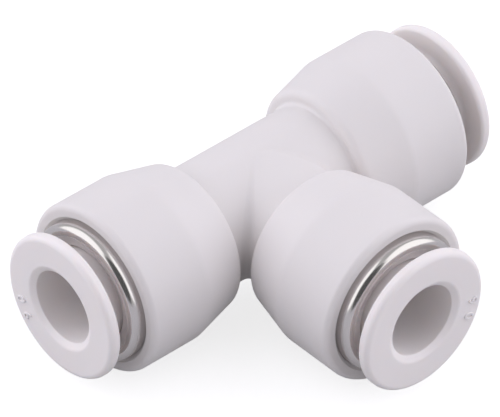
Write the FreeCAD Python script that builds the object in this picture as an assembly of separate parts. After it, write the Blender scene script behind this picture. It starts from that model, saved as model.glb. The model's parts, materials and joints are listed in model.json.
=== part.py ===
"""Push-in union tee for plastic tube: one moulded body with three equal push-to-release ports.

Millimetres, +Z up. The run of the tee lies along X, the branch leaves along -Y, and the part lies
on its three barrels. The origin is under the middle of the part's box, on the surface it lies on.

Each port is drawn once in its own frame: the origin is on the port's axis, where the mouth's rounded
rim begins to rise, and +Z points out of the port, the way the tube leaves. place_port() then sets the
piece in the tee.
"""
import FreeCAD, Part
import math
import os

from FreeCAD import Placement, Rotation, Vector

# The tube
tube_diameter = 6.0

# Overall reach, measured to the outer faces of the release sleeves
run_length = 40.0
branch_reach = 19.8

# Body, outside
neck_diameter = 10.3
branch_neck_step = 0.03
crotch_fillet = 0.8
neck_fillet = 0.3
shoulder_diameter = 12.3
barrel_diameter = 14.4
head_length = 9.7
barrel_length = 5.4
shoulder_round = 0.65
barrel_round = 2.0
mouth_rise = 0.3
mouth_round = 0.5
mouth_chamfer = 0.3

# Body, inside
flow_diameter = 4.4
stop_depth = 12.1
seal_pocket_diameter = 9.6
seal_pocket_depth = 2.2

# Guide ring
ring_diameter = 11.8
ring_depth = 4.5
rim_height = 1.15
rim_wall = 0.9
rim_outer_round = 0.6
rim_inner_round = 0.2
lip_recess = 0.25
lip_thickness = 1.8
lip_chamfer = 0.2
chamber_diameter = 9.2

# Release sleeve
flange_diameter = 12.3
flange_thickness = 1.02
flange_front_round = 0.45
flange_back_round = 0.3
stem_diameter = 7.84
stem_fillet = 0.5
entry_width = 0.5
entry_depth = 0.35
entry_outer_round = 0.35
entry_inner_round = 0.12
collar_catch = 0.22
collar_thickness = 0.85
nose_wall = 0.45
sleeve_slot_width = 0.9
sleeve_slot_to_flange = 2.3
release_travel = 1.3

# Lock claw
claw_thickness = 0.3
claw_rim_width = 0.85
claw_teeth = 10
claw_slot = 0.5
claw_angle = 45.0
claw_bite = 0.15

# Claw seat
claw_bore_diameter = 10.3
seat_height = 1.8
seat_top_land = 0.5
seat_lower_land = 1.1

# Seal
seal_squeeze = 0.12
seal_lip_width = 0.5
seal_back_height = 0.95

# Clearances and fits
tube_clearance = 0.05
sleeve_bore_clearance = 0.1
sleeve_running_clearance = 0.06
press_gap = 0.015
loose_gap = 0.02
collar_rest_gap = 0.04
travel_reserve = 0.27
nose_claw_gap = 0.2

# Radii that follow
tube_r = tube_diameter / 2
neck_r = neck_diameter / 2
branch_neck_r = neck_r - branch_neck_step
shoulder_r = shoulder_diameter / 2
barrel_r = barrel_diameter / 2
ring_r = ring_diameter / 2
mouth_bore_r = ring_r + press_gap
claw_bore_r = claw_bore_diameter / 2
seal_pocket_r = seal_pocket_diameter / 2
tube_seat_r = tube_r + tube_clearance
flow_r = flow_diameter / 2
stem_r = stem_diameter / 2
lip_r = stem_r + sleeve_running_clearance
sleeve_bore_r = tube_r + sleeve_bore_clearance
nose_r = sleeve_bore_r + nose_wall
claw_rim_r = claw_bore_r - loose_gap
claw_root_r = claw_rim_r - claw_rim_width
claw_tip_r = tube_r - claw_bite

# Heights along a port's axis, from the port's origin, that follow
flange_back_z = rim_height + release_travel + travel_reserve
flange_front_z = flange_back_z + flange_thickness
claw_top_z = -ring_depth
claw_bottom_z = claw_top_z - claw_thickness
seat_bottom_z = claw_bottom_z - seat_height
pocket_floor_z = seat_bottom_z - seal_pocket_depth
lip_top_z = rim_height - lip_recess
lip_bottom_z = lip_top_z - lip_thickness
claw_slope = math.tan(math.radians(claw_angle))
nose_end_z = claw_top_z - (claw_root_r - nose_r) * claw_slope + nose_claw_gap

# Where the tee's axes cross, in the part's frame
crossing = Vector(0, (branch_reach - barrel_r) / 2, barrel_r)

# Port name, outward direction, reach of its sleeve's outer face from the crossing, and the angle that
# its sleeve, which turns freely, happens to lie at
ports = [
    ("left", Vector(-1, 0, 0), run_length / 2, 48.0),
    ("right", Vector(1, 0, 0), run_length / 2, 15.0),
    ("branch", Vector(0, -1, 0), branch_reach, 35.0),
]


def place_port(shape, direction, reach, turn=0.0):
    """Set a piece drawn in the port's frame into the tee, turned about the port's axis."""
    mouth = crossing + direction * (reach - flange_front_z)
    along = Vector(0, 0, 1)
    placed = shape.copy()
    placed.Placement = Placement(mouth, Rotation(along, direction) * Rotation(along, turn))
    return placed


def ring_profile(corners):
    """Face in the XZ plane from (radius, height, corner round) triples, rounded where asked."""
    points = [Vector(r, 0, z) for r, z, _ in corners]
    edges = []
    last = None
    first = None
    for i, (_, _, round_r) in enumerate(corners):
        here = points[i]
        to_before = (points[i - 1] - here).normalize()
        to_after = (points[(i + 1) % len(points)] - here).normalize()
        if round_r > 0:
            half = to_before.getAngle(to_after) / 2
            run = round_r / math.tan(half)
            start = here + to_before * run
            end = here + to_after * run
            inward = (to_before + to_after).normalize()
            middle = here + inward * (round_r / math.sin(half) - round_r)
            arc = Part.Arc(start, middle, end).toShape()
        else:
            start = here
            end = here
            arc = None
        if last is not None:
            edges.append(Part.makeLine(last, start))
        if arc is not None:
            edges.append(arc)
        if first is None:
            first = start
        last = end
    edges.append(Part.makeLine(last, first))
    return Part.Face(Part.Wire(edges))


def turned(corners):
    """Solid turned about the port's axis from a profile."""
    return ring_profile(corners).revolve(Vector(0, 0, 0), Vector(0, 0, 1), 360)


def make_head(neck_radius):
    """Outside of one port's head, solid: the neck's end, shoulder, cone, barrel and rounded rim."""
    return turned([
        (0, -head_length - 2 * neck_fillet, 0),
        (neck_radius, -head_length - 2 * neck_fillet, 0),
        (neck_radius, -head_length, neck_fillet),
        (shoulder_r, -head_length, shoulder_round),
        (barrel_r, -barrel_length, barrel_round),
        (barrel_r, mouth_rise, mouth_round),
        (0, mouth_rise, 0),
    ])


def make_port_cavity(reach):
    """What is bored out of the body at one port, from the mouth to the tube stop and the flow passage."""
    to_crossing = reach - flange_front_z
    return turned([
        (0, -to_crossing, 0),
        (flow_r, -to_crossing, 0),
        (flow_r, -stop_depth, 0),
        (tube_seat_r, -stop_depth, 0),
        (tube_seat_r, pocket_floor_z, 0),
        (seal_pocket_r, pocket_floor_z, 0),
        (seal_pocket_r, seat_bottom_z, 0),
        (claw_bore_r, seat_bottom_z, 0),
        (claw_bore_r, -ring_depth, 0),
        (mouth_bore_r, -ring_depth, 0),
        (mouth_bore_r, mouth_rise - mouth_chamfer, 0),
        (mouth_bore_r + mouth_chamfer, mouth_rise, 0),
        (0, mouth_rise, 0),
    ])


def make_necks():
    """The run's and the branch's necks where they cross, with the corners between them filled softly."""
    run_inside = run_length - 2 * flange_front_z - 2 * head_length
    run_neck = Part.makeCylinder(neck_r, run_inside, crossing - Vector(run_inside / 2, 0, 0), Vector(1, 0, 0))
    branch_inside = branch_reach - flange_front_z - head_length
    branch_neck = Part.makeCylinder(branch_neck_r, branch_inside, crossing, Vector(0, -1, 0))
    necks = run_neck.fuse(branch_neck).removeSplitter()
    crease = [edge for edge in necks.Edges if edge.Curve.TypeId == "Part::GeomBSplineCurve"]
    return necks.makeFillet(crotch_fillet, crease)


def make_body():
    """The moulded tee: three heads on a crossing of thin necks, bored from every mouth."""
    heads = []
    cavities = []
    for name, direction, reach, _ in ports:
        head = make_head(branch_neck_r if name == "branch" else neck_r)
        heads.append(place_port(head, direction, reach))
        cavities.append(place_port(make_port_cavity(reach), direction, reach))
    solid = make_necks().fuse(heads).removeSplitter()
    return solid.cut(cavities)


def make_guide_ring():
    """Turned metal ring: rounded rim outside the mouth, lip that guides the stem, chamber for the collar."""
    rim_inner_r = ring_r - rim_wall
    chamber_r = chamber_diameter / 2
    return turned([
        (ring_r, -ring_depth, 0),
        (ring_r, rim_height, rim_outer_round),
        (rim_inner_r, rim_height, rim_inner_round),
        (rim_inner_r, lip_top_z, 0),
        (lip_r + lip_chamfer, lip_top_z, 0),
        (lip_r, lip_top_z - lip_chamfer, 0),
        (lip_r, lip_bottom_z, 0),
        (chamber_r, lip_bottom_z, 0),
        (chamber_r, -ring_depth, 0),
    ])


def make_release_sleeve():
    """Flanged sleeve that is pushed in to free the tube, held by a split collar behind the ring's lip."""
    flange_r = flange_diameter / 2
    collar_r = lip_r + collar_catch
    collar_top_z = lip_bottom_z - collar_rest_gap
    collar_bottom_z = collar_top_z - collar_thickness
    sleeve = turned([
        (sleeve_bore_r, nose_end_z, 0),
        (nose_r, nose_end_z, 0),
        (nose_r, collar_bottom_z - (collar_r - nose_r), 0),
        (collar_r, collar_bottom_z, 0),
        (collar_r, collar_top_z, 0),
        (stem_r, collar_top_z, 0),
        (stem_r, flange_back_z, stem_fillet),
        (flange_r, flange_back_z, flange_back_round),
        (flange_r, flange_front_z, flange_front_round),
        (sleeve_bore_r + entry_width, flange_front_z, entry_outer_round),
        (sleeve_bore_r, flange_front_z - entry_depth, entry_inner_round),
    ])
    slot_half = sleeve_slot_width / 2
    slot_top_z = flange_back_z - sleeve_slot_to_flange
    slot_height = slot_top_z - slot_half - nose_end_z
    slot = Part.makeBox(2 * collar_r, sleeve_slot_width, slot_height, Vector(-collar_r, -slot_half, nose_end_z))
    slot_end = Part.makeCylinder(
        slot_half, 2 * collar_r, Vector(-collar_r, 0, slot_top_z - slot_half), Vector(1, 0, 0))
    return sleeve.cut(slot.fuse(slot_end))


def make_lock_claw():
    """Spring-steel claw: a flat rim with teeth that lean inwards and away from the mouth."""
    slant = claw_thickness / math.cos(math.radians(claw_angle))
    tip_z = claw_top_z - (claw_root_r - claw_tip_r) * claw_slope
    under_root_r = claw_root_r + (slant - claw_thickness) / claw_slope
    blank = turned([
        (claw_rim_r, claw_bottom_z, 0),
        (claw_rim_r, claw_top_z, 0),
        (claw_root_r, claw_top_z, 0),
        (claw_tip_r, tip_z, 0),
        (claw_tip_r, tip_z - slant, 0),
        (under_root_r, claw_bottom_z, 0),
    ])
    bottom = tip_z - 2 * slant
    height = claw_top_z + claw_thickness - bottom
    slots = []
    for i in range(claw_teeth):
        slot = Part.makeBox(claw_root_r, claw_slot, height, Vector(0, -claw_slot / 2, bottom))
        slot.rotate(Vector(0, 0, 0), Vector(0, 0, 1), 360.0 * i / claw_teeth)
        slots.append(slot)
    return blank.cut(slots)


def make_claw_seat():
    """Ring that carries the claw's rim, keeps the seal in its pocket and leaves room for the teeth."""
    seat_r = claw_bore_r - loose_gap
    return turned([
        (seat_r, seat_bottom_z, 0),
        (seat_r, claw_bottom_z, 0),
        (seat_r - seat_top_land, claw_bottom_z, 0),
        (seat_r - seat_lower_land, seat_bottom_z, 0),
    ])


def make_seal():
    """Rubber ring with a groove on its pressure side, so that pressure opens its two lips."""
    outer_r = seal_pocket_r - loose_gap
    inner_r = tube_r - seal_squeeze
    top_z = seat_bottom_z - loose_gap
    bottom_z = pocket_floor_z + loose_gap
    groove_z = top_z - seal_back_height
    groove_bottom_r = (outer_r + inner_r) / 2
    return turned([
        (outer_r, bottom_z, 0),
        (outer_r, top_z, 0),
        (inner_r, top_z, 0),
        (inner_r, bottom_z, 0),
        (inner_r + seal_lip_width, bottom_z, 0),
        (groove_bottom_r, groove_z, 0),
        (outer_r - seal_lip_width, bottom_z, 0),
    ])


def main():
    """Write one STEP file for each separate piece."""
    os.makedirs("parts", exist_ok=True)
    make_body().exportStep("parts/body.step")
    port_pieces = {
        "guide_ring": make_guide_ring(),
        "release_sleeve": make_release_sleeve(),
        "lock_claw": make_lock_claw(),
        "claw_seat": make_claw_seat(),
        "seal": make_seal(),
    }
    for name, direction, reach, sleeve_turn in ports:
        for piece, shape in port_pieces.items():
            turn = sleeve_turn if piece == "release_sleeve" else 0.0
            place_port(shape, direction, reach, turn).exportStep(f"parts/{piece}_{name}.step")


main()
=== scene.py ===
"""Looks of a white push-in tee for 6 mm plastic tube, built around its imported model.

Metres, +Z up. The run of the tee lies along X and its branch leaves along -Y. The moulded body, the
release sleeves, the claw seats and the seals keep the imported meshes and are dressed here. The guide
rings, whose polish shows every curve, the lock claws, whose teeth bend, and the raised size marks are
modelled here.
"""

import json
import logging
import math
from dataclasses import dataclass
from enum import Enum

import bpy
from mathutils import Matrix, Vector


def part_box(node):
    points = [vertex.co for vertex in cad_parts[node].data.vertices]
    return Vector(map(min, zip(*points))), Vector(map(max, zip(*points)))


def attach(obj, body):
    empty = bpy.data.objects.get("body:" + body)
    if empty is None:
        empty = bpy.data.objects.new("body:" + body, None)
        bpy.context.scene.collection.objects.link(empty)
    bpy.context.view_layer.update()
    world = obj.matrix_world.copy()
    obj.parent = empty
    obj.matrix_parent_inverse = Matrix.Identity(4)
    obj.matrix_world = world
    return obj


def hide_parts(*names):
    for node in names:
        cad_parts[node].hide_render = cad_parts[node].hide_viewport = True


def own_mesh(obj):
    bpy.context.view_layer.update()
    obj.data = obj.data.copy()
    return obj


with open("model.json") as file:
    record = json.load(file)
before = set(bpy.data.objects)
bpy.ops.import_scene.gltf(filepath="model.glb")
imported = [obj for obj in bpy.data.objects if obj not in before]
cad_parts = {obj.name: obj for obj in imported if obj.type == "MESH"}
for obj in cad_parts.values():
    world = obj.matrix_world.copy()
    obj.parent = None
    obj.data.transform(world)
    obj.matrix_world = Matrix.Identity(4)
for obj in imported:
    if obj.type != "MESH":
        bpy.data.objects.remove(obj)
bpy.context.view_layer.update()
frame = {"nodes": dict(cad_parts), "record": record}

log = logging.getLogger("push_in_tee")

MM = 0.001
UP = Vector((0, 0, 1))
MERGE_WITHIN = 0.001 * MM
SMOOTH_UP_TO = math.radians(30)

Colour = tuple[float, float, float]
WHITE: Colour = (1.0, 1.0, 1.0)
Corner = tuple[float, float]
Socket = bpy.types.NodeSocket


class PortName(Enum):
    """The three ports of the tee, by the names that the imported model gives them."""

    LEFT = "left"
    RIGHT = "right"
    BRANCH = "branch"


@dataclass(frozen=True)
class Port:
    """Where one port lies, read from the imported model.

    Attributes:
        name: Which port it is.
        outward: Unit vector along the port's axis, the way the tube leaves.
        face: Centre of the release sleeve's outer face.
    """

    name: PortName
    outward: Vector
    face: Vector

    @classmethod
    def read(cls, name: PortName) -> "Port":
        """Find a port from its mount and from the reach of its release sleeve.

        Args:
            name: Which port to read.

        Returns:
            The port.
        """
        mount = next(m for m in frame["record"]["mounts"] if m["name"] == f"{name.value}_port")
        outward = Vector(mount["axis"])
        seat = Vector(mount["pos_m"])
        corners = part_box(f"release_sleeve_{name.value}")
        reach = max((corner - seat).dot(outward) for corner in corners)
        return cls(name, outward, seat + outward * reach)

    def matrix(self) -> Matrix:
        """Turn the port's own frame into the part's.

        The port's own frame has its origin on the face's centre, +Z out of the port and +Y upwards.

        Returns:
            The matrix that takes a point from the port's frame to the part's.
        """
        side = UP.cross(self.outward)
        turn = Matrix((side, UP, self.outward)).transposed()
        return Matrix.Translation(self.face) @ turn.to_4x4()

    def radial(self, angle: float) -> Vector:
        """Unit vector square to the port's axis.

        Args:
            angle: Degrees from the port's level side towards its top.

        Returns:
            The vector in the part's frame.
        """
        turn = math.radians(angle)
        return UP.cross(self.outward) * math.cos(turn) + UP * math.sin(turn)


class NodeSheet:
    """A material or world whose nodes are laid out by short calls."""

    def __init__(self, tree: bpy.types.NodeTree) -> None:
        """Empty a node tree and keep it.

        Args:
            tree: The node tree to fill.
        """
        self.tree = tree
        tree.nodes.clear()

    def add(self, kind: str, **settings: object) -> bpy.types.Node:
        """Add one node.

        Args:
            kind: The node's type.
            settings: Properties of the node, or values of its sockets where the name is a socket's.

        Returns:
            The new node.
        """
        node = self.tree.nodes.new(kind)
        for key, value in settings.items():
            if hasattr(node, key):
                setattr(node, key, value)
            else:
                node.inputs[key.replace("_", " ").title()].default_value = value
        return node

    def join(self, source: Socket, target: Socket) -> None:
        """Link an output to an input.

        Args:
            source: Output socket.
            target: Input socket.
        """
        self.tree.links.new(source, target)

    def calculate(self, kind: str, first: Socket, second: Socket | float) -> Socket:
        """Work out one number from two.

        Args:
            kind: What the Math node does, such as ADD.
            first: The first number.
            second: The second number, an output or a plain value.

        Returns:
            The result's output socket.
        """
        node = self.add("ShaderNodeMath", operation=kind)
        self.join(first, node.inputs[0])
        if isinstance(second, (int, float)):
            node.inputs[1].default_value = second
        else:
            self.join(second, node.inputs[1])
        return node.outputs["Value"]


def scaled(colour: Colour, gain: float) -> tuple[float, float, float, float]:
    """Make a colour lighter or darker, up to white.

    Args:
        colour: The colour, linear.
        gain: What each channel is multiplied by.

    Returns:
        The new colour, opaque.
    """
    return (*(min(channel * gain, 1) for channel in colour), 1)


@dataclass(frozen=True)
class MouldedPlastic:
    """Satin injection-moulded plastic: soft light inside it, a fine texture and hardly any colour drift.

    Attributes:
        name: Name of the material.
        colour: Base colour, linear.
        roughness: Middle roughness of the skin.
        glow: Weight of the light that scatters inside.
        depth_mm: How deep that light reaches.
        depth_by_colour: Share of that depth which red, green and blue light reach.
        ior: Index of refraction.
        grain_mm: Size of the mould's fine texture.
        grain_depth: Strength of that texture.
        grain_height: Its height, as a share of its size.
        roughness_drift: How far the roughness strays with the texture, up or down.
        drift_mm: Size of the patches in which the colour strays.
        colour_drift: Share by which it strays, up or down.
    """

    name: str
    colour: Colour
    roughness: float = 0.45
    glow: float = 0.15
    depth_mm: float = 0.5
    depth_by_colour: Colour = (1.0, 0.85, 0.7)
    ior: float = 1.47
    grain_mm: float = 0.09
    grain_depth: float = 0.06
    grain_height: float = 0.1
    roughness_drift: float = 0.05
    drift_mm: float = 6.0
    colour_drift: float = 0.015

    def material(self) -> bpy.types.Material:
        """Build the material.

        Returns:
            The material, reading object coordinates.
        """
        material = bpy.data.materials.new(self.name)
        material.use_nodes = True
        sheet = NodeSheet(material.node_tree)
        place = sheet.add("ShaderNodeTexCoord").outputs["Object"]
        shader = sheet.add("ShaderNodeBsdfPrincipled")
        shader.inputs["Subsurface Weight"].default_value = self.glow
        shader.inputs["Subsurface Radius"].default_value = self.depth_by_colour
        shader.inputs["Subsurface Scale"].default_value = self.depth_mm * MM
        shader.inputs["IOR"].default_value = self.ior
        drift = sheet.add("ShaderNodeTexNoise", scale=1 / (self.drift_mm * MM), detail=2.0)
        sheet.join(place, drift.inputs["Vector"])
        tint = sheet.add("ShaderNodeMix", data_type="RGBA")
        tint.inputs["A"].default_value = scaled(self.colour, 1 - self.colour_drift)
        tint.inputs["B"].default_value = scaled(self.colour, 1 + self.colour_drift)
        sheet.join(drift.outputs["Fac"], tint.inputs["Factor"])
        sheet.join(tint.outputs["Result"], shader.inputs["Base Color"])
        grain = sheet.add("ShaderNodeTexNoise", scale=1 / (self.grain_mm * MM), detail=3.0)
        sheet.join(place, grain.inputs["Vector"])
        rough = sheet.add(
            "ShaderNodeMapRange",
            to_min=self.roughness - self.roughness_drift,
            to_max=self.roughness + self.roughness_drift,
        )
        sheet.join(grain.outputs["Fac"], rough.inputs["Value"])
        sheet.join(rough.outputs["Result"], shader.inputs["Roughness"])
        bump = sheet.add(
            "ShaderNodeBump", strength=self.grain_depth, distance=self.grain_height * self.grain_mm * MM
        )
        sheet.join(grain.outputs["Fac"], bump.inputs["Height"])
        sheet.join(bump.outputs["Normal"], shader.inputs["Normal"])
        output = sheet.add("ShaderNodeOutputMaterial")
        sheet.join(shader.outputs["BSDF"], output.inputs["Surface"])
        return material


@dataclass(frozen=True)
class TurnedMetal:
    """Metal off a lathe or out of a round die: fine lines run round the port's axis.

    Attributes:
        name: First part of the material's name.
        colour: Base colour, linear.
        roughness: Middle roughness.
        line_mm: Spacing of the fine lines.
        line_depth: Strength of the lines.
        line_height: Their height, as a share of their spacing.
        smoother_by: How far the roughness falls below its middle between the lines.
        rougher_by: How far it rises above its middle on them.
        colour_drift: Share by which the lines change the colour, up or down.
        dull_within_mm: Radius within which it was left as turned, without polish.
        dull_by: Roughness that it has there on top.
    """

    name: str
    colour: Colour
    roughness: float = 0.16
    line_mm: float = 0.05
    line_depth: float = 0.12
    line_height: float = 0.02
    smoother_by: float = 0.05
    rougher_by: float = 0.08
    colour_drift: float = 0.05
    dull_within_mm: float = 0.0
    dull_by: float = 0.0

    def material(self, port: Port) -> bpy.types.Material:
        """Build the material for a piece that was turned about a port's axis.

        Args:
            port: The port whose axis the lines run round.

        Returns:
            The material, reading object coordinates.
        """
        material = bpy.data.materials.new(f"{self.name}_{port.name.value}")
        material.use_nodes = True
        sheet = NodeSheet(material.node_tree)
        shader = sheet.add("ShaderNodeBsdfPrincipled")
        shader.inputs["Metallic"].default_value = 1.0
        place = sheet.add("ShaderNodeTexCoord").outputs["Object"]
        centre = sheet.add("ShaderNodeVectorMath", operation="SUBTRACT")
        centre.inputs[1].default_value = port.face
        sheet.join(place, centre.inputs[0])
        along = sheet.add("ShaderNodeVectorMath", operation="DOT_PRODUCT")
        along.inputs[1].default_value = port.outward
        sheet.join(centre.outputs["Vector"], along.inputs[0])
        across = sheet.add("ShaderNodeVectorMath", operation="CROSS_PRODUCT")
        across.inputs[1].default_value = port.outward
        sheet.join(centre.outputs["Vector"], across.inputs[0])
        radius = sheet.add("ShaderNodeVectorMath", operation="LENGTH")
        sheet.join(across.outputs["Vector"], radius.inputs[0])
        ring_place = sheet.add("ShaderNodeCombineXYZ")
        sheet.join(along.outputs["Value"], ring_place.inputs["X"])
        sheet.join(radius.outputs["Value"], ring_place.inputs["Y"])
        lines = sheet.add("ShaderNodeTexNoise", scale=1 / (self.line_mm * MM), detail=2.0)
        sheet.join(ring_place.outputs["Vector"], lines.inputs["Vector"])
        shade = sheet.add("ShaderNodeMix", data_type="RGBA")
        shade.inputs["A"].default_value = scaled(self.colour, 1 - self.colour_drift)
        shade.inputs["B"].default_value = scaled(self.colour, 1 + self.colour_drift)
        sheet.join(lines.outputs["Fac"], shade.inputs["Factor"])
        sheet.join(shade.outputs["Result"], shader.inputs["Base Color"])
        rough = sheet.add(
            "ShaderNodeMapRange",
            to_min=self.roughness - self.smoother_by,
            to_max=self.roughness + self.rougher_by,
        )
        sheet.join(lines.outputs["Fac"], rough.inputs["Value"])
        inside = sheet.calculate("LESS_THAN", radius.outputs["Value"], self.dull_within_mm * MM)
        dull = sheet.calculate("MULTIPLY", inside, self.dull_by)
        sheet.join(sheet.calculate("ADD", rough.outputs["Result"], dull), shader.inputs["Roughness"])
        bump = sheet.add(
            "ShaderNodeBump", strength=self.line_depth, distance=self.line_height * self.line_mm * MM
        )
        sheet.join(lines.outputs["Fac"], bump.inputs["Height"])
        sheet.join(bump.outputs["Normal"], shader.inputs["Normal"])
        output = sheet.add("ShaderNodeOutputMaterial")
        sheet.join(shader.outputs["BSDF"], output.inputs["Surface"])
        return material


@dataclass(frozen=True)
class SealRubber:
    """Black nitrile rubber with a dull, faintly mottled skin.

    Attributes:
        name: Name of the material.
        colour: Base colour, linear.
        mottle_mm: Size of the mottling.
        mottle_gain: How much lighter its light spots are.
        least_rough: Roughness of its smoothest spots.
        most_rough: Roughness of its dullest spots.
    """

    name: str = "seal_rubber"
    colour: Colour = (0.018, 0.018, 0.019)
    mottle_mm: float = 0.3
    mottle_gain: float = 1.6
    least_rough: float = 0.55
    most_rough: float = 0.75

    def material(self) -> bpy.types.Material:
        """Build the material.

        Returns:
            The material, reading object coordinates.
        """
        material = bpy.data.materials.new(self.name)
        material.use_nodes = True
        sheet = NodeSheet(material.node_tree)
        place = sheet.add("ShaderNodeTexCoord").outputs["Object"]
        mottle = sheet.add("ShaderNodeTexNoise", scale=1 / (self.mottle_mm * MM))
        sheet.join(place, mottle.inputs["Vector"])
        shader = sheet.add("ShaderNodeBsdfPrincipled")
        tint = sheet.add("ShaderNodeMix", data_type="RGBA")
        tint.inputs["A"].default_value = scaled(self.colour, 1)
        tint.inputs["B"].default_value = scaled(self.colour, self.mottle_gain)
        sheet.join(mottle.outputs["Fac"], tint.inputs["Factor"])
        sheet.join(tint.outputs["Result"], shader.inputs["Base Color"])
        rough = sheet.add("ShaderNodeMapRange", to_min=self.least_rough, to_max=self.most_rough)
        sheet.join(mottle.outputs["Fac"], rough.inputs["Value"])
        sheet.join(rough.outputs["Result"], shader.inputs["Roughness"])
        output = sheet.add("ShaderNodeOutputMaterial")
        sheet.join(shader.outputs["BSDF"], output.inputs["Surface"])
        return material


def pick_only(piece: bpy.types.Object) -> None:
    """Deselect everything and make one object the active one.

    Args:
        piece: The object to work on.
    """
    bpy.ops.object.select_all(action="DESELECT")
    piece.select_set(True)
    bpy.context.view_layer.objects.active = piece


def set_down(piece: bpy.types.Object, place: Matrix) -> None:
    """Move a piece and put its place into its mesh.

    Args:
        piece: The piece to move.
        place: Matrix from the piece's present place to its new one.
    """
    pick_only(piece)
    piece.matrix_world = place
    bpy.ops.object.transform_apply(location=True, rotation=True, scale=True)


def copied(piece: bpy.types.Object, name: str, place: Matrix) -> bpy.types.Object:
    """Copy a finished piece, with a mesh of its own, to another place.

    Args:
        piece: The piece to copy.
        name: Name of the copy.
        place: Matrix from the piece's place to the copy's.

    Returns:
        The copy.
    """
    pick_only(piece)
    bpy.ops.object.duplicate(linked=False)
    copy = bpy.context.object
    copy.name = name
    copy.data.name = name
    set_down(copy, place)
    return copy


def dress(node: str, material: bpy.types.Material) -> None:
    """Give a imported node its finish.

    Args:
        node: Name of the node.
        material: What it is made of.
    """
    piece = frame["nodes"][node]
    for slot in piece.material_slots:
        slot.material = material
    log.info("%s: packed mesh in %s", node, material.name)


@dataclass
class TeeBody:
    """The moulded body."""

    plastic: bpy.types.Material

    def build(self) -> None:
        """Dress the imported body."""
        dress("body", self.plastic)


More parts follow.
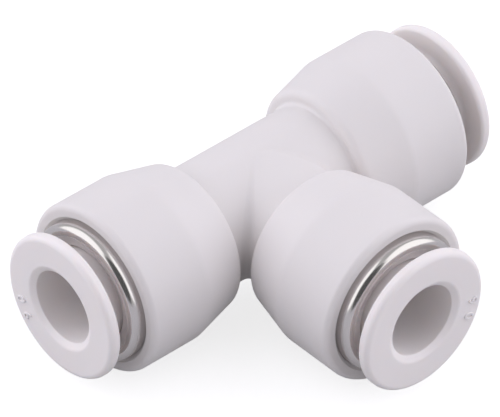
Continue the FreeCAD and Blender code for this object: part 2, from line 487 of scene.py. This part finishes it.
@dataclass
class GuideRing:
    """The nickel-plated ring pressed into each mouth, turned once and copied to every port.

    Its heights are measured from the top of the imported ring's rim, out of the port.

    Attributes:
        outer_mm: Radius of its wall.
        rim_bore_mm: Radius inside its rim.
        lip_bore_mm: Radius of the lip that guides the sleeve's stem.
        chamber_mm: Radius of the chamber behind the lip.
        rim_mm: Top of its rim.
        foot_mm: Foot of its wall.
        lip_top_mm: Top of the lip.
        lip_mm: Length of the lip.
        lip_chamfer_mm: Chamfer at the lip's mouth.
        lean_deg: Tilt of the normal, from the port's axis, where the wall's swell meets the rim's edge.
        swell_mm: Radius of the wall's swell, seen in section.
        edge_mm: Radius of the rim's outer edge.
        bore_edge_mm: Radius of the rim's inner edge.
        arc_steps: Segments of each arc of the section.
        facets: Segments round the axis.
    """

    outer_mm: float = 5.9
    rim_bore_mm: float = 5.0
    lip_bore_mm: float = 3.98
    chamber_mm: float = 4.6
    rim_mm: float = 0.14
    foot_mm: float = -5.65
    lip_top_mm: float = -0.25
    lip_mm: float = 1.8
    lip_chamfer_mm: float = 0.2
    lean_deg: float = 76.0
    swell_mm: float = 1.26
    edge_mm: float = 0.57
    bore_edge_mm: float = 0.2
    arc_steps: int = 8
    facets: int = 128

    def arc(self, centre: Corner, radius: float, first: float, last: float) -> list[Corner]:
        """Points of one arc of the section.

        Args:
            centre: Its centre, as distance from the axis and height.
            radius: Its radius.
            first: Tilt of the normal where it begins, in degrees from the axis.
            last: Tilt of the normal where it ends.

        Returns:
            The points, as distance from the axis and height.
        """
        points = []
        for step in range(self.arc_steps + 1):
            tilt = math.radians(first + (last - first) * step / self.arc_steps)
            points.append((centre[0] + radius * math.sin(tilt), centre[1] + radius * math.cos(tilt)))
        return points

    def section(self) -> list[Corner]:
        """Section of the ring, from the foot of its wall over the rim and down its inside.

        Returns:
            The corners, as distance from the axis and height.
        """
        lean = math.radians(self.lean_deg)
        edge_centre = (
            self.outer_mm - (self.swell_mm - self.edge_mm) * (1 - math.sin(lean)) - self.edge_mm,
            self.rim_mm - self.edge_mm,
        )
        swell_centre = (
            self.outer_mm - self.swell_mm,
            edge_centre[1] - (self.swell_mm - self.edge_mm) * math.cos(lean),
        )
        bore_edge_centre = (self.rim_bore_mm + self.bore_edge_mm, self.rim_mm - self.bore_edge_mm)
        lip_foot = self.lip_top_mm - self.lip_mm
        return [
            (self.outer_mm, self.foot_mm),
            *self.arc(swell_centre, self.swell_mm, 90, self.lean_deg),
            *self.arc(edge_centre, self.edge_mm, self.lean_deg, 0)[1:],
            *self.arc(bore_edge_centre, self.bore_edge_mm, 0, -90),
            (self.rim_bore_mm, self.lip_top_mm),
            (self.lip_bore_mm + self.lip_chamfer_mm, self.lip_top_mm),
            (self.lip_bore_mm, self.lip_top_mm - self.lip_chamfer_mm),
            (self.lip_bore_mm, lip_foot),
            (self.chamber_mm, lip_foot),
            (self.chamber_mm, self.foot_mm),
        ]

    def turned(self) -> bpy.types.Object:
        """Turn the ring about the Z axis.

        Returns:
            The ring.
        """
        corners = self.section()
        radius, height = corners[0]
        bpy.ops.object.select_all(action="DESELECT")
        bpy.ops.mesh.primitive_circle_add(
            vertices=self.facets, radius=radius * MM, fill_type="NOTHING", location=(0, 0, 0)
        )
        ring = bpy.context.object
        bpy.ops.object.mode_set(mode="EDIT")
        bpy.ops.mesh.select_all(action="SELECT")
        bpy.ops.transform.translate(value=(0, 0, height * MM))
        for next_radius, next_height in corners[1:] + corners[:1]:
            rise = (next_height - height) * MM
            bpy.ops.mesh.extrude_region_move(TRANSFORM_OT_translate={"value": (0, 0, rise)})
            share = next_radius / radius
            bpy.ops.transform.resize(value=(share, share, 1), center_override=(0, 0, next_height * MM))
            radius, height = next_radius, next_height
        bpy.ops.mesh.select_all(action="SELECT")
        bpy.ops.mesh.remove_doubles(threshold=MERGE_WITHIN)
        bpy.ops.mesh.normals_make_consistent(inside=False)
        bpy.ops.object.mode_set(mode="OBJECT")
        bpy.ops.object.shade_smooth_by_angle(angle=SMOOTH_UP_TO)
        return ring

    def build(self, ports: list[Port], nickel: TurnedMetal) -> None:
        """Turn the ring and set a copy into every port.

        Args:
            ports: All the ports.
            nickel: The rings' finish.
        """
        model = self.turned()
        for port in ports:
            node = f"guide_ring_{port.name.value}"
            rim_top = max((corner - port.face).dot(port.outward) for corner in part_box(node))
            place = port.matrix() @ Matrix.Translation((0, 0, rim_top))
            ring = copied(model, f"turned_ring_{port.name.value}", place)
            ring.data.materials.clear()
            ring.data.materials.append(nickel.material(port))
            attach(ring, "housing")
            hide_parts(node)
            log.info("%s: turned in %d facets", ring.name, self.facets)
        bpy.data.objects.remove(model)


@dataclass
class SizeMark:
    """One raised digit of the tube's size on a release sleeve's face.

    Attributes:
        digit: What it reads.
        radius_mm: Distance of its middle from the port's axis.
        angle: Degrees of its middle from the port's level side towards its top.
        height_mm: Height of the digit.
        raised_mm: How far it stands off the face.
        edge_mm: Size of the bevel on its edges.
        height_share: Height of a digit as a share of its font's size.
    """

    digit: str
    radius_mm: float
    angle: float
    height_mm: float = 0.95
    raised_mm: float = 0.08
    edge_mm: float = 0.02
    height_share: float = 0.7

    def build(self, port: Port, index: int, plastic: bpy.types.Material) -> None:
        """Raise the digit on a port's sleeve, its foot towards the sleeve's edge.

        Args:
            port: The port whose sleeve carries it.
            index: Its number in the mark, from 1.
            plastic: What the sleeve is made of.
        """
        bpy.ops.object.select_all(action="DESELECT")
        bpy.ops.object.text_add(location=(0, 0, 0))
        mark = bpy.context.object
        mark.data.body = self.digit
        mark.data.align_x = "CENTER"
        mark.data.align_y = "CENTER"
        mark.data.size = self.height_mm * MM / self.height_share
        mark.data.extrude = self.raised_mm * MM
        mark.data.bevel_depth = self.edge_mm * MM
        mark.data.bevel_resolution = 1
        mark.data.resolution_u = 4
        pick_only(mark)
        bpy.ops.object.convert(target="MESH")
        mark.name = f"size_mark_{port.name.value}_{index}"
        mark.data.name = mark.name
        bpy.ops.object.mode_set(mode="EDIT")
        bpy.ops.mesh.select_all(action="SELECT")
        bpy.ops.mesh.remove_doubles(threshold=MERGE_WITHIN)
        bpy.ops.mesh.normals_make_consistent(inside=False)
        bpy.ops.object.mode_set(mode="OBJECT")
        bpy.ops.object.shade_smooth_by_angle(angle=SMOOTH_UP_TO)
        middle = port.matrix().inverted() @ (port.face + port.radial(self.angle) * self.radius_mm * MM)
        foot_out = Matrix.Rotation(math.radians(self.angle + 90), 4, "Z")
        set_down(mark, port.matrix() @ Matrix.Translation(middle) @ foot_out)
        mark.data.materials.clear()
        mark.data.materials.append(plastic)
        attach(mark, f"sleeve_{port.name.value}")
        log.info("%s: raised digit", mark.name)


@dataclass
class ReleaseSleeve:
    """The flanged sleeve of one port, with the tube's size raised on its face.

    Attributes:
        port: The port it slides in.
        plastic: What it is made of.
        marks: The digits on its face.
    """

    port: Port
    plastic: bpy.types.Material
    marks: tuple[SizeMark, ...]

    def build(self) -> None:
        """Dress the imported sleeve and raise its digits."""
        dress(f"release_sleeve_{self.port.name.value}", self.plastic)
        for index, mark in enumerate(self.marks, start=1):
            mark.build(self.port, index, self.plastic)


@dataclass
class LockClaw:
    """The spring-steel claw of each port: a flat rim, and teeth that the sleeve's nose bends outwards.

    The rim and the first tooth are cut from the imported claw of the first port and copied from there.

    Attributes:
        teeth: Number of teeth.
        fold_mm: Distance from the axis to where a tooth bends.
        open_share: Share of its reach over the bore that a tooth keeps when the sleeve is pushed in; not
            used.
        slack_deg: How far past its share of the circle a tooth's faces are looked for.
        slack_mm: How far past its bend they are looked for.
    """

    teeth: int = 10
    fold_mm: float = 4.05
    open_share: float = 0.32
    slack_deg: float = 0.5
    slack_mm: float = 0.23

    def first_angle(self, port: Port) -> float:
        """Degrees from a port's level side to the middle of its first tooth.

        Args:
            port: The port to look at.

        Returns:
            The angle.
        """
        return 180 / self.teeth if port.name is PortName.BRANCH else 0.0

    def blank(self, port: Port) -> bpy.types.Object:
        """Copy a port's packed claw and merge its loose triangles.

        Args:
            port: The port whose claw is copied.

        Returns:
            The copy.
        """
        claw = copied(frame["nodes"][f"lock_claw_{port.name.value}"], "claw_blank", Matrix.Identity(4))
        bpy.ops.object.mode_set(mode="EDIT")
        bpy.ops.mesh.select_all(action="SELECT")
        bpy.ops.mesh.remove_doubles(threshold=MERGE_WITHIN)
        bpy.ops.object.mode_set(mode="OBJECT")
        return claw

    def select_tooth(self, claw: bpy.types.Object, port: Port, index: int) -> None:
        """Select the faces of one tooth.

        Args:
            claw: The merged claw.
            port: The port it lies in.
            index: Number of the tooth, from 0.
        """
        middle = port.radial(self.first_angle(port) + 360 * index / self.teeth)
        widest = math.radians(180 / self.teeth + self.slack_deg)
        places = []
        for vertex in claw.data.vertices:
            arm = vertex.co - port.face
            places.append(arm - port.outward * arm.dot(port.outward))
        for face in claw.data.polygons:
            corners = [places[i] for i in face.vertices]
            centre = sum(corners, Vector()) / len(corners)
            near_enough = centre.length < (self.fold_mm + self.slack_mm) * MM
            face.select = near_enough and all(corner.angle(middle) < widest for corner in corners)

    def bend_line(self, port: Port, index: int) -> tuple[Vector, Vector]:
        """Where a tooth bends.

        Args:
            port: The port the claw lies in.
            index: Number of the tooth, from 0.

        Returns:
            A point of the bend and the direction away from the port's axis.
        """
        middle = port.radial(self.first_angle(port) + 360 * index / self.teeth)
        return port.face + middle * self.fold_mm * MM, middle

    def cut_rim(self, port: Port) -> bpy.types.Object:
        """Make the rim: the claw without what moves of its teeth.

        Args:
            port: The port whose packed claw is cut.

        Returns:
            The rim.
        """
        rim = self.blank(port)
        for index in range(self.teeth):
            bpy.ops.object.mode_set(mode="EDIT")
            bpy.ops.mesh.select_mode(type="FACE")
            bpy.ops.mesh.select_all(action="DESELECT")
            bpy.ops.object.mode_set(mode="OBJECT")
            self.select_tooth(rim, port, index)
            point, away = self.bend_line(port, index)
            bpy.ops.object.mode_set(mode="EDIT")
            bpy.ops.mesh.bisect(plane_co=point, plane_no=away, use_fill=True, clear_inner=True)
            bpy.ops.object.mode_set(mode="OBJECT")
        return rim

    def cut_tooth(self, port: Port) -> bpy.types.Object:
        """Make the first tooth, from its bend to its tip.

        Args:
            port: The port whose packed claw is cut.

        Returns:
            The tooth.
        """
        tooth = self.blank(port)
        bpy.ops.object.mode_set(mode="EDIT")
        bpy.ops.mesh.select_mode(type="FACE")
        bpy.ops.mesh.select_all(action="DESELECT")
        bpy.ops.object.mode_set(mode="OBJECT")
        self.select_tooth(tooth, port, 0)
        point, away = self.bend_line(port, 0)
        bpy.ops.object.mode_set(mode="EDIT")
        bpy.ops.mesh.select_all(action="INVERT")
        bpy.ops.mesh.delete(type="FACE")
        bpy.ops.mesh.select_all(action="SELECT")
        bpy.ops.mesh.bisect(plane_co=point, plane_no=away, use_fill=True, clear_outer=True)
        bpy.ops.mesh.select_all(action="SELECT")
        bpy.ops.mesh.normals_make_consistent(inside=False)
        bpy.ops.object.mode_set(mode="OBJECT")
        return tooth

    def finish(self, piece: bpy.types.Object, name: str, port: Port, steel: bpy.types.Material) -> None:
        """Name, shade and dress a finished piece of a claw and let it ride on the housing.

        Args:
            piece: The piece.
            name: Its name.
            port: The port it lies in.
            steel: What it is made of.
        """
        piece.name = name
        piece.data.name = name
        piece.data.materials.clear()
        piece.data.materials.append(steel)
        pick_only(piece)
        bpy.ops.object.shade_smooth_by_angle(angle=SMOOTH_UP_TO)
        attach(piece, "housing")
        log.info("%s: cut from the claw of the %s port", name, port.name.value)

    def build(self, ports: list[Port], steel: TurnedMetal) -> None:
        """Make the claws of all the ports from the first port's rim and tooth.

        Args:
            ports: All the ports.
            steel: The claws' finish.
        """
        first = ports[0]
        model_rim = self.cut_rim(first)
        model_tooth = self.cut_tooth(first)
        for port in ports:
            name = port.name.value
            finish = steel.material(port)
            turned = Matrix.Rotation(math.radians(self.first_angle(port) - self.first_angle(first)), 4, "Z")
            place = port.matrix() @ turned @ first.matrix().inverted()
            rim = copied(model_rim, f"lock_claw_{name}_rim", place)
            self.finish(rim, f"lock_claw_{name}_rim", port, finish)
            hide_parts(f"lock_claw_{name}")
            for index in range(self.teeth):
                step = Matrix.Rotation(math.radians(360 * index / self.teeth), 4, "Z")
                there = port.matrix() @ step @ turned @ first.matrix().inverted()
                tooth = copied(model_tooth, f"lock_claw_{name}_tooth_{index + 1:02d}", there)
                self.finish(tooth, tooth.name, port, finish)
                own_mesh(tooth)
        bpy.data.objects.remove(model_rim)
        bpy.data.objects.remove(model_tooth)


@dataclass
class InnerPieces:
    """The claw seat and the seal of one port.

    Attributes:
        port: The port they lie in.
        seat_plastic: What the claw seat is made of.
        rubber: What the seal is made of.
    """

    port: Port
    seat_plastic: bpy.types.Material
    rubber: bpy.types.Material

    def build(self) -> None:
        """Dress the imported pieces."""
        dress(f"claw_seat_{self.port.name.value}", self.seat_plastic)
        dress(f"seal_{self.port.name.value}", self.rubber)


@dataclass(frozen=True)
class Softbox:
    """A soft round patch of the room, by where it stands from the part.

    Attributes:
        turn: Degrees round from the camera's side towards the picture's right.
        rise: Degrees above the table.
        reach: Degrees from its middle to its edge.
        fade: Degrees over which its edge fades.
        level: Light that it adds.
    """

    turn: float
    rise: float
    reach: float
    fade: float
    level: float

    def cover(self, sheet: NodeSheet, direction: Socket, azimuth: float) -> Socket:
        """Work out how much of it a direction sees, from 0 to 1.

        Args:
            sheet: The world's nodes.
            direction: The direction's output socket.
            azimuth: Degrees of the camera round the part.

        Returns:
            The share's output socket.
        """
        round_by = math.radians(azimuth + self.turn)
        up_by = math.radians(self.rise)
        level_reach = math.cos(up_by)
        middle = (math.sin(round_by) * level_reach, -math.cos(round_by) * level_reach, math.sin(up_by))
        near = sheet.add("ShaderNodeVectorMath", operation="DOT_PRODUCT")
        sheet.join(direction, near.inputs[0])
        near.inputs[1].default_value = middle
        share = sheet.add("ShaderNodeMapRange", interpolation_type="SMOOTHSTEP")
        half_fade = self.fade / 2
        share.inputs["From Min"].default_value = math.cos(math.radians(self.reach + half_fade))
        share.inputs["From Max"].default_value = math.cos(math.radians(self.reach - half_fade))
        sheet.join(near.outputs["Value"], share.inputs["Value"])
        return share.outputs["Result"]


# What lights the part
LIT_BY = (
    Softbox(60, 48, 30, 24, 0.30),
    Softbox(120, 48, 30, 24, 0.63),
    Softbox(240, 48, 30, 24, 0.53),
    Softbox(300, 48, 30, 24, 0.72),
    Softbox(60, 14, 30, 24, 1.20),
    Softbox(120, 14, 30, 24, 1.66),
    Softbox(240, 14, 30, 24, 1.72),
    Softbox(300, 14, 30, 24, 0.87),
)
# What its metal mirrors: a light on either side, and the unlit side of the room that the camera is on
SEEN_IN_METAL = (
    Softbox(90, 32, 43, 8, 0.80),
    Softbox(270, 32, 43, 8, 0.80),
)
DARK_SIDE = Softbox(0, 32, 38, 6, 0.81)


@dataclass
class Studio:
    """White table, soft light and the camera at the photograph's angle.

    Attributes:
        azimuth: Degrees round the part, 0 looking along +Y.
        elevation: Degrees above the table.
        roll: Degrees that the camera leans.
        distance: From the camera to the point where the ports' axes cross.
        lens_mm: Focal length on a 36 mm wide sensor.
        aim_right_mm: How far the crossing lies right of the picture's centre.
        aim_up_mm: How far it lies above the picture's centre.
        light_colour: Colour of the room's light.
        ambient: Light from all round.
        metal_ambient: What reflections see where no softbox stands.
        table_size: Side of the table.
        table_bounce: How much light the table throws back at the part.
        table_shown: How much of the light on it the table shows, and of the shadow with it.
        table_glow: Brightness that the table adds to that for the camera.
        table_glow_in_metal: Brightness that it adds for reflections.
    """

    azimuth: float = -42.12
    elevation: float = 39.96
    roll: float = 0.43
    distance: float = 0.4998
    lens_mm: float = 458.6
    aim_right_mm: float = 0.235
    aim_up_mm: float = 0.778
    light_colour: Colour = (1.0, 0.985, 1.08)
    ambient: float = 0.10
    metal_ambient: float = 0.5
    table_size: float = 6.0
    table_bounce: float = 0.5
    table_shown: float = 0.45
    table_glow: float = 0.75
    table_glow_in_metal: float = 0.12

    def add_camera(self, crossing: Vector) -> None:
        """Set the camera.

        Args:
            crossing: Point where the ports' axes cross.
        """
        turn, rise, lean = (math.radians(a) for a in (self.azimuth, self.elevation, self.roll))
        back = Vector((math.sin(turn) * math.cos(rise), -math.cos(turn) * math.cos(rise), math.sin(rise)))
        level = Vector((math.cos(turn), math.sin(turn), 0))
        upright = back.cross(level)
        right = level * math.cos(lean) + upright * math.sin(lean)
        up = upright * math.cos(lean) - level * math.sin(lean)
        aim = crossing - right * self.aim_right_mm * MM - up * self.aim_up_mm * MM
        data = bpy.data.cameras.new("camera")
        data.lens = self.lens_mm
        data.clip_start = 0.01
        data.clip_end = 50
        camera = bpy.data.objects.new("camera", data)
        bpy.context.collection.objects.link(camera)
        placed = Matrix((right, up, back)).transposed().to_4x4()
        placed.translation = aim + back * self.distance
        camera.matrix_world = placed
        bpy.context.scene.camera = camera

    def add_table(self) -> None:
        """Lay the white table, which keeps the part's shadow."""
        bpy.ops.object.select_all(action="DESELECT")
        bpy.ops.mesh.primitive_plane_add(size=self.table_size, location=(0, 0, 0))
        table = bpy.context.object
        table.name = "table"
        material = bpy.data.materials.new("table_white")
        material.use_nodes = True
        sheet = NodeSheet(material.node_tree)
        path = sheet.add("ShaderNodeLightPath")
        lit = sheet.add("ShaderNodeBsdfDiffuse")
        lit.inputs["Color"].default_value = scaled(WHITE, self.table_bounce)
        seen_lit = sheet.add("ShaderNodeBsdfDiffuse")
        seen_lit.inputs["Color"].default_value = scaled(WHITE, self.table_shown)
        glow = sheet.add("ShaderNodeEmission")
        for_camera = sheet.calculate("MULTIPLY", path.outputs["Is Camera Ray"], self.table_glow)
        for_metal = sheet.calculate("MULTIPLY", path.outputs["Is Glossy Ray"], self.table_glow_in_metal)
        sheet.join(sheet.calculate("ADD", for_camera, for_metal), glow.inputs["Strength"])
        seen = sheet.add("ShaderNodeAddShader")
        sheet.join(seen_lit.outputs["BSDF"], seen.inputs[0])
        sheet.join(glow.outputs["Emission"], seen.inputs[1])
        mix = sheet.add("ShaderNodeMixShader")
        either = sheet.calculate("MAXIMUM", path.outputs["Is Camera Ray"], path.outputs["Is Glossy Ray"])
        sheet.join(either, mix.inputs["Fac"])
        sheet.join(lit.outputs["BSDF"], mix.inputs[1])
        sheet.join(seen.outputs["Shader"], mix.inputs[2])
        output = sheet.add("ShaderNodeOutputMaterial")
        sheet.join(mix.outputs["Shader"], output.inputs["Surface"])
        table.data.materials.append(material)

    def light_of(
        self, sheet: NodeSheet, direction: Socket, ambient: float, boxes: tuple[Softbox, ...]
    ) -> Socket:
        """Add the light of some softboxes to an even light.

        Args:
            sheet: The world's nodes.
            direction: The direction's output socket.
            ambient: The even light.
            boxes: The softboxes.

        Returns:
            The sum's output socket.
        """
        even = sheet.add("ShaderNodeValue")
        even.outputs["Value"].default_value = ambient
        level = even.outputs["Value"]
        for box in boxes:
            share = sheet.calculate("MULTIPLY", box.cover(sheet, direction, self.azimuth), box.level)
            level = sheet.calculate("ADD", level, share)
        return level

    def add_world(self) -> None:
        """Surround the part with soft light, with a white background for the camera."""
        world = bpy.data.worlds.new("studio")
        bpy.context.scene.world = world
        world.use_nodes = True
        sheet = NodeSheet(world.node_tree)
        path = sheet.add("ShaderNodeLightPath")
        direction = sheet.add("ShaderNodeTexCoord").outputs["Generated"]
        level = self.light_of(sheet, direction, self.ambient, LIT_BY)
        mirrored_level = self.light_of(sheet, direction, self.metal_ambient, SEEN_IN_METAL)
        dark = sheet.calculate("MULTIPLY", DARK_SIDE.cover(sheet, direction, self.azimuth), -DARK_SIDE.level)
        mirrored_level = sheet.calculate("MULTIPLY", mirrored_level, sheet.calculate("ADD", dark, 1.0))
        soft = sheet.add("ShaderNodeBackground")
        soft.inputs["Color"].default_value = (*self.light_colour, 1)
        sheet.join(level, soft.inputs["Strength"])
        room = sheet.add("ShaderNodeBackground")
        room.inputs["Color"].default_value = (*WHITE, 1)
        sheet.join(mirrored_level, room.inputs["Strength"])
        white = sheet.add("ShaderNodeBackground")
        white.inputs["Color"].default_value = (*WHITE, 1)
        mirrored = sheet.add("ShaderNodeMixShader")
        bent = sheet.calculate("MAXIMUM", path.outputs["Is Transmission Ray"], path.outputs["Is Glossy Ray"])
        sheet.join(bent, mirrored.inputs["Fac"])
        sheet.join(soft.outputs["Background"], mirrored.inputs[1])
        sheet.join(room.outputs["Background"], mirrored.inputs[2])
        mix = sheet.add("ShaderNodeMixShader")
        sheet.join(path.outputs["Is Camera Ray"], mix.inputs["Fac"])
        sheet.join(mirrored.outputs["Shader"], mix.inputs[1])
        sheet.join(white.outputs["Background"], mix.inputs[2])
        output = sheet.add("ShaderNodeOutputWorld")
        sheet.join(mix.outputs["Shader"], output.inputs["Surface"])

    def build(self, crossing: Vector) -> None:
        """Set up the whole studio.

        Args:
            crossing: Point where the ports' axes cross.
        """
        bpy.context.scene.view_settings.view_transform = "Standard"
        self.add_camera(crossing)
        self.add_world()
        self.add_table()


def crossing_of(ports: list[Port]) -> Vector:
    """Point where the ports' axes cross.

    Args:
        ports: All the ports.

    Returns:
        The point on the run's axis that lies on the branch's axis too.
    """
    faces = {port.name: port.face for port in ports}
    run_end = faces[PortName.LEFT]
    return Vector((faces[PortName.BRANCH].x, run_end.y, run_end.z))


SLEEVE_MARKS = {
    PortName.LEFT: (SizeMark("0", 4.94, 202.5), SizeMark("6", 4.94, 219.0)),
    PortName.RIGHT: (SizeMark("0", 4.94, 148.0), SizeMark("6", 4.94, 164.5)),
    PortName.BRANCH: (SizeMark("0", 5.1, 337.1), SizeMark("6", 5.1, 353.2)),
}


def main() -> None:
    """Build and dress the tee and set up the studio."""
    logging.basicConfig(level=logging.INFO)
    ports = [Port.read(name) for name in PortName]
    body_plastic = MouldedPlastic("body_plastic", (0.80, 0.770, 0.75)).material()
    sleeve_finish = MouldedPlastic("sleeve_plastic", (0.91, 0.868, 0.845), roughness=0.4, glow=0.3)
    sleeve_plastic = sleeve_finish.material()
    seat_plastic = MouldedPlastic("seat_plastic", (0.5, 0.5, 0.51)).material()
    rubber = SealRubber().material()
    TeeBody(body_plastic).build()
    GuideRing().build(ports, TurnedMetal("nickel", (0.73, 0.70, 0.695), dull_within_mm=4.97, dull_by=0.24))
    for port in ports:
        ReleaseSleeve(port, sleeve_plastic, SLEEVE_MARKS[port.name]).build()
        InnerPieces(port, seat_plastic, rubber).build()
    LockClaw().build(ports, TurnedMetal("spring_steel", (0.6, 0.6, 0.61), roughness=0.3))
    Studio().build(crossing_of(ports))


if __name__ == "__main__":
    main()
